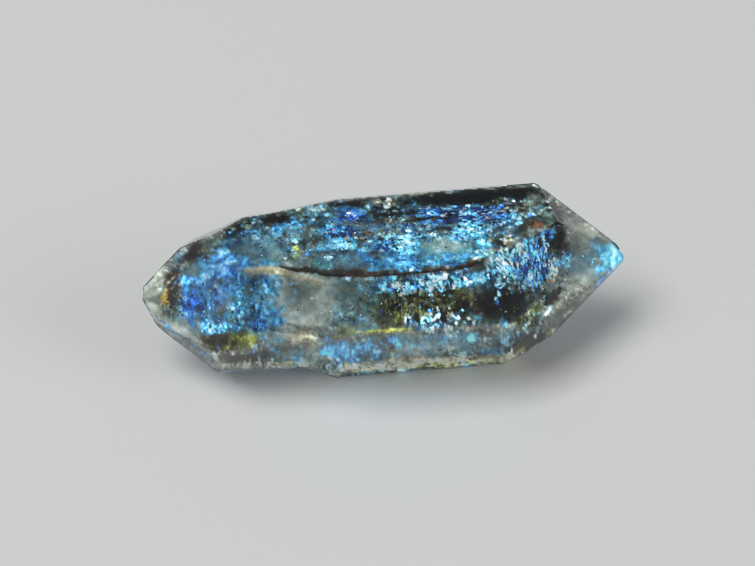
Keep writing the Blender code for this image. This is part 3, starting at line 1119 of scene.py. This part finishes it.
def fleck_chances(x, y, seed):
    """How likely a fleck of each kind is at pixels, with the kinds first."""
    score = strengths(x, y)
    quiet = 1.0
    for kind, hush in HUSHING.items():
        quiet = quiet * (1 - hush * np.clip(score[NAMES.index(kind)], 0, 1))
    chance = []
    for index, kind in enumerate(NAMES):
        everywhere, more, _ = FLECKS.get(kind, NO_FLECKS)
        clump = lattice_noise(x / CLUMP_WIDTH, y / CLUMP_HEIGHT, seed * 50 + index, 3)
        clump = np.clip(4 * (clump - 0.42), 0, 2)
        chance.append(clump * (everywhere * quiet + more * np.clip(score[index] - 0.1, 0, None)))
    return np.stack(chance)


def fleck_bed(name, tries, nearest, farthest, seed):
    """Flat flecks, spread where their kinds are strong."""
    draw = np.random.default_rng(seed)
    x = draw.uniform(LEFT, RIGHT_EDGE, tries)
    y = draw.uniform(TOP, BOTTOM, tries)
    chance = fleck_chances(x, y, seed)
    kept = draw.random(tries) < chance.sum(0)
    x, y, chance = x[kept], y[kept], chance[:, kept]
    turn = draw.random(len(x)) * chance.sum(0)
    pick = (np.cumsum(chance, 0) < turn).sum(0)
    chosen = []
    for px, py, kind in zip(x, y, pick):
        found = into_crystal(px, py, draw.uniform(nearest, farthest))
        if found is not None:
            chosen.append((*found[0], *found[1], px, py, kind))
    chosen = np.array(chosen)
    x, y, kinds = chosen[:, 6], chosen[:, 7], chosen[:, 8].astype(int)
    count = len(chosen)
    half = np.array([FLECKS.get(kind, NO_FLECKS)[2] for kind in NAMES])[kinds] * MM
    half *= 1 + all_spots(x, y, COARSE)
    half *= np.exp(draw.normal(0, SIZE_SPREAD, count))
    angle = draw.uniform(0, pi, count)
    slim = draw.uniform(0.45, 1.0, count)
    for spot, long, wide, lie in LONG_FLECKS:
        here = spot_strength(x, y, spot) > LONG_ENOUGH
        angle = np.where(here, radians(-lie) + draw.normal(0, TURN_SPREAD, count), angle)
        half = np.where(here, half * sqrt(long / wide), half)
        slim = np.where(here, wide / long, slim)
    level = 0.1 + 0.8 * draw.random(count) ** 2
    fleck_piece(name, chosen[:, :3], chosen[:, 3:6], kinds, half, angle, slim, level, draw)


def fleck_piece(name, places, inward, kinds, half, angle, slim, level, draw):
    """Flat four-sided flecks as one mesh, each turned towards the face that it is seen through."""
    count = len(kinds)
    facing = unit(-inward + draw.normal(0, TIP_SPREAD, (count, 3)))
    across = np.cos(angle)[:, None] * np.array(RIGHT) + np.sin(angle)[:, None] * np.array(UP)
    across = unit(across - facing * (across * facing).sum(1)[:, None])
    upward = np.cross(facing, across)
    turns = (np.arange(RIM_SIDES) + draw.uniform(-0.3, 0.3, (count, RIM_SIDES))) * 2 * pi / RIM_SIDES
    radius = half[:, None] * draw.uniform(0.7, 1.25, (count, RIM_SIDES))
    rim = (
        places[:, None]
        + across[:, None] * (radius * np.cos(turns))[..., None]
        + upward[:, None] * (radius * np.sin(turns) * slim[:, None])[..., None]
    )
    thick = (half * FLECK_THICKNESS)[:, None] * facing
    corners = np.concatenate([rim, (places + thick)[:, None], (places - thick)[:, None]], 1)
    one = []
    for side in range(RIM_SIDES):
        after = (side + 1) % RIM_SIDES
        one += [(side, after, RIM_SIDES), (after, side, RIM_SIDES + 1)]
    per = RIM_SIDES + 2
    faces = (np.array(one)[None] + (np.arange(count) * per)[:, None, None]).reshape(-1, 3)
    column = (kinds + 0.5) / len(NAMES)
    spread_u = np.cos(np.arange(per) * 2.4) * 0.3 / len(NAMES)
    spread_v = np.sin(np.arange(per) * 2.4) * 0.1
    uv = np.stack([column[:, None] + spread_u, level[:, None] + spread_v], -1).reshape(-1, 2)
    film_piece(name, corners.reshape(-1, 3), faces, uv, fleck_material())


# Single flecks that stand out, many of them white painted glints: pixel, kind, half size in mm, how
# slim, turn in degrees, brightness.
GLINTS = (
    (514, 201, "painted_glint", 0.10, 0.9, 0, 0.9), (493, 201, "painted_glint", 0.06, 0.8, 30, 0.7),
    (530, 215, "azure", 0.17, 0.9, 10, 0.6), (529, 214, "painted_glint", 0.06, 0.9, 0, 0.6),
    (502, 206, "ultramarine", 0.16, 0.8, 0, 0.6), (501, 205, "cyan", 0.08, 0.8, 0, 0.6),
    (325, 257, "painted_glint", 0.06, 0.9, 0, 0.9), (331, 257, "painted_glint", 0.05, 0.9, 0, 0.9),
    (312, 298, "tan_and_painted_highlight", 0.12, 0.6, 0, 0.6), (274, 364, "bitumen", 0.12, 0.4, 40, 0.1),
    (277, 365, "bitumen", 0.10, 0.4, -50, 0.1), (582, 288, "gold", 0.09, 0.5, 30, 0.7),
    (576, 240, "navy", 0.13, 0.5, 80, 0.6), (587, 243, "navy", 0.11, 0.5, 80, 0.6),
    (349, 213, "painted_glint", 0.14, 0.6, 0, 0.7), (355, 216, "painted_glint", 0.10, 0.7, 20, 0.7),
    (474, 263, "gold", 0.14, 0.4, 5, 0.7), (465, 262, "lime", 0.09, 0.5, 5, 0.5),
    (297, 248, "lime", 0.09, 0.6, 80, 0.6), (294, 256, "lime", 0.08, 0.6, 70, 0.6),
    (536, 224, "rust", 0.22, 0.5, -15, 0.6), (541, 226, "rust", 0.16, 0.5, -15, 0.8),
    (482, 240, "painted_glint", 0.16, 0.25, 100, 0.6), (483, 248, "cyan", 0.16, 0.3, 80, 0.6),
    (496, 246, "lime", 0.06, 0.8, 0, 0.6), (408, 242, "painted_glint", 0.14, 0.5, 20, 0.6),
    (401, 247, "painted_glint", 0.12, 0.5, -20, 0.5), (466, 224, "painted_glint", 0.16, 0.5, -20, 0.6),
    (472, 229, "painted_glint", 0.18, 0.4, -25, 0.6), (480, 233, "painted_glint", 0.12, 0.5, -25, 0.5),
    (488, 275, "painted_glint", 0.12, 0.6, 80, 0.7), (480, 279, "painted_glint", 0.10, 0.5, 70, 0.6),
    (452, 280, "painted_glint", 0.13, 0.5, 80, 0.6), (448, 285, "navy", 0.14, 0.6, 80, 0.3),
    (425, 283, "ultramarine", 0.18, 0.6, 60, 0.4), (391, 288, "ultramarine", 0.16, 0.6, 40, 0.4),
    (405, 284, "cyan", 0.16, 0.5, 20, 0.6), (503, 262, "painted_glint", 0.26, 0.16, 42, 0.6),
    (508, 268, "cyan", 0.28, 0.16, 42, 0.6), (498, 268, "painted_glint", 0.24, 0.18, 42, 0.5),
    (495, 259, "cyan", 0.24, 0.16, 38, 0.6), (535, 253, "cyan", 0.26, 0.2, 84, 0.6),
    (546, 250, "painted_glint", 0.20, 0.22, 118, 0.6), (532, 263, "azure", 0.24, 0.2, 84, 0.6),
    (524, 262, "cyan", 0.22, 0.2, 75, 0.6), (540, 267, "cyan", 0.22, 0.2, 98, 0.6),
    (549, 236, "ultramarine", 0.20, 0.7, 20, 0.5), (498, 302, "azure", 0.12, 0.5, 70, 0.4),
    (168, 302, "gold", 0.12, 0.5, 50, 0.6), (164, 295, "gold", 0.12, 0.5, -50, 0.7),
    (172, 284, "rust", 0.12, 0.3, -60, 0.3), (178, 279, "gold", 0.10, 0.4, -50, 0.6),
    (202, 249, "gold", 0.10, 0.7, -30, 0.7), (213, 261, "cyan", 0.12, 0.6, 0, 0.5),
    (396, 342, "cyan", 0.14, 0.7, 0, 0.5), (475, 336, "cyan", 0.12, 0.8, 0, 0.5),
    (516, 350, "painted_glint", 0.09, 0.5, -30, 0.6), (520, 347, "navy", 0.14, 0.7, 0, 0.5),
    (513, 349, "bitumen", 0.20, 0.35, 70, 0.2), (530, 341, "bitumen", 0.30, 0.25, -28, 0.2),
    (545, 331, "painted_glint", 0.14, 0.3, -45, 0.7), (541, 334, "azure", 0.10, 0.5, -40, 0.5),
    (553, 296, "bitumen", 0.22, 0.4, -40, 0.1), (559, 305, "bitumen", 0.24, 0.22, -48, 0.1),
    (558, 306, "painted_glint", 0.10, 0.3, -48, 0.5), (545, 316, "lime", 0.12, 0.4, -45, 0.7),
    (548, 312, "painted_glint", 0.12, 0.5, -50, 0.6), (505, 328, "azure", 0.14, 0.8, 0, 0.7),
    (511, 327, "frost_and_painted_rim_light", 0.14, 0.6, 10, 0.6), (553, 322, "bitumen", 0.30, 0.2, -48, 0.2),
    (566, 292, "lime", 0.08, 0.5, -40, 0.6), (543, 289, "painted_glint", 0.07, 0.6, 30, 0.4),
    (222, 358, "bitumen", 0.22, 0.25, 5, 0.2), (246, 356, "bitumen", 0.28, 0.2, 3, 0.2),
    (214, 353, "cyan", 0.10, 0.4, 10, 0.6), (195, 346, "cyan", 0.08, 0.4, -30, 0.5),
    (327, 352, "cyan", 0.16, 0.6, 0, 0.4), (372, 281, "lime", 0.09, 0.7, 0, 0.6),
)
GLINT_DEPTH = 0.7 * MM
GLINT_SEED = 23


def make_glints():
    rows = []
    for x, y, kind, half, slim, lie, level in GLINTS:
        found = into_crystal(x, y, GLINT_DEPTH)
        if found is not None:
            rows.append((*found[0], *found[1], NAMES.index(kind), half * MM, radians(-lie), slim, level))
    rows = np.array(rows)
    kinds, (half, angle, slim, level) = rows[:, 6].astype(int), rows[:, 7:].T
    draw = np.random.default_rng(GLINT_SEED)
    fleck_piece("glints", rows[:, :3], rows[:, 3:6], kinds, half, angle, slim, level, draw)


# How bright a fleck's colour and its painted glow are at the least and at the most level.
DIMMEST, BRIGHTEST = 0.4, 2.2


def palette_ramp(tree, source, colours):
    """The colour of a fleck by its kind, which its place across the UV map says."""
    ramp = tree.nodes.new("ShaderNodeValToRGB")
    ramp.color_ramp.interpolation = "CONSTANT"
    stops = ramp.color_ramp.elements
    stops[0].color = (*colours[0], 1)
    stops[1].position = 1 / len(colours)
    stops[1].color = (*colours[1], 1)
    for index in range(2, len(colours)):
        stops.new(index / len(colours)).color = (*colours[index], 1)
    tree.links.new(source, ramp.inputs["Fac"])
    return ramp.outputs["Color"]


def fleck_material():
    if "flecks" in bpy.data.materials:
        return bpy.data.materials["flecks"]
    material, tree, shader = node_tree("flecks")
    place = tree.nodes.new("ShaderNodeUVMap")
    place.uv_map = "OFBake"
    parts = tree.nodes.new("ShaderNodeSeparateXYZ")
    tree.links.new(place.outputs["UV"], parts.inputs[0])
    colours = to_linear(SRGB)
    # Painted glow: the flecks' emission is their colour times their kind's glow share.
    for target, values in (("Base Color", colours), ("Emission Color", colours * PAINTED_GLOW[:, None])):
        shade = tree.nodes.new("ShaderNodeMix")
        shade.data_type = "RGBA"
        shade.blend_type = "MULTIPLY"
        shade.inputs["Factor"].default_value = 1
        level = tree.nodes.new("ShaderNodeMapRange")
        level.inputs["To Min"].default_value = DIMMEST
        level.inputs["To Max"].default_value = BRIGHTEST
        tree.links.new(parts.outputs["Y"], level.inputs["Value"])
        tree.links.new(palette_ramp(tree, parts.outputs["X"], values), shade.inputs[6])
        tree.links.new(level.outputs["Result"], shade.inputs[7])
        tree.links.new(shade.outputs[2], shader.inputs[target])
    shader.inputs["Emission Strength"].default_value = 1.0
    shader.inputs["Roughness"].default_value = 0.25
    return material


# The stage

# The floor is flat up to its radius and sweeps up into a low wall, in metres.
FLOOR_RADIUS = 0.7
FLOOR_MIDDLE_RADIUS = 0.1
SWEEP_RADIUS = 0.3
SWEEP_STEPS = 12
WALL_HEIGHT = 0.45
FLOOR_SIDES = 96
FLOOR_DROP = 0.02 * MM
FLOOR_COLOUR = (0.72, 0.72, 0.71, 1)
SKY_COLOUR = (0.8, 0.85, 0.9, 1)
SKY_STRENGTH = 0.2
# Lamps: direction from the crystal, width in metres and power in watts.
LAMP_DISTANCE = 0.8
LAMPS = {"key": ((-0.43, -0.18, 0.89), 0.46, 4.5), "fill": ((0.76, -0.46, 0.46), 0.37, 1.2)}


def floor_profile():
    """The floor's outline from its middle outwards, as (radius, height) pairs."""
    outline = [(FLOOR_MIDDLE_RADIUS, 0.0), (FLOOR_RADIUS, 0.0)]
    for step in range(1, SWEEP_STEPS + 1):
        turn = pi / 2 * step / SWEEP_STEPS
        outline.append((FLOOR_RADIUS + SWEEP_RADIUS * sin(turn), SWEEP_RADIUS * (1 - cos(turn))))
    outline.append((FLOOR_RADIUS + SWEEP_RADIUS, WALL_HEIGHT))
    return outline


def make_floor():
    corners, faces = [(0.0, 0.0, 0.0)], []
    for radius, height in floor_profile():
        for side in range(FLOOR_SIDES):
            turn = 2 * pi * side / FLOOR_SIDES
            corners.append((radius * cos(turn), radius * sin(turn), height))
    for side in range(FLOOR_SIDES):
        beside = (side + 1) % FLOOR_SIDES
        faces.append((0, side + 1, beside + 1))
        for ring in range(len(floor_profile()) - 1):
            inner, outer = 1 + ring * FLOOR_SIDES, 1 + (ring + 1) * FLOOR_SIDES
            faces.append((inner + side, outer + side, outer + beside, inner + beside))
    mesh = bpy.data.meshes.new("floor")
    mesh.from_pydata(corners, [], faces)
    mesh.shade_smooth()
    floor = link("floor", mesh)
    floor.location.z = -FLOOR_DROP
    material, _, shader = node_tree("floor")
    shader.inputs["Base Color"].default_value = FLOOR_COLOUR
    shader.inputs["Roughness"].default_value = 0.8
    mesh.materials.append(material)


def make_light():
    world = bpy.data.worlds.new("studio")
    world.use_nodes = True
    background = world.node_tree.nodes["Background"]
    background.inputs["Color"].default_value = SKY_COLOUR
    background.inputs["Strength"].default_value = SKY_STRENGTH
    bpy.context.scene.world = world
    for name, (way, size, power) in LAMPS.items():
        data = bpy.data.lights.new(name, "AREA")
        data.size = size
        data.energy = power
        lamp = bpy.data.objects.new(name, data)
        bpy.context.scene.collection.objects.link(lamp)
        lamp.location = Vector(way).normalized() * LAMP_DISTANCE
        lamp.rotation_euler = Vector(way).to_track_quat("Z", "Y").to_euler()


make_camera()
make_skin()
film_sheets()
for name, bed in FLECK_BEDS.items():
    fleck_bed(name, *bed)
make_glints()
make_floor()
make_light()

bpy.context.scene.view_settings.view_transform = "Standard"
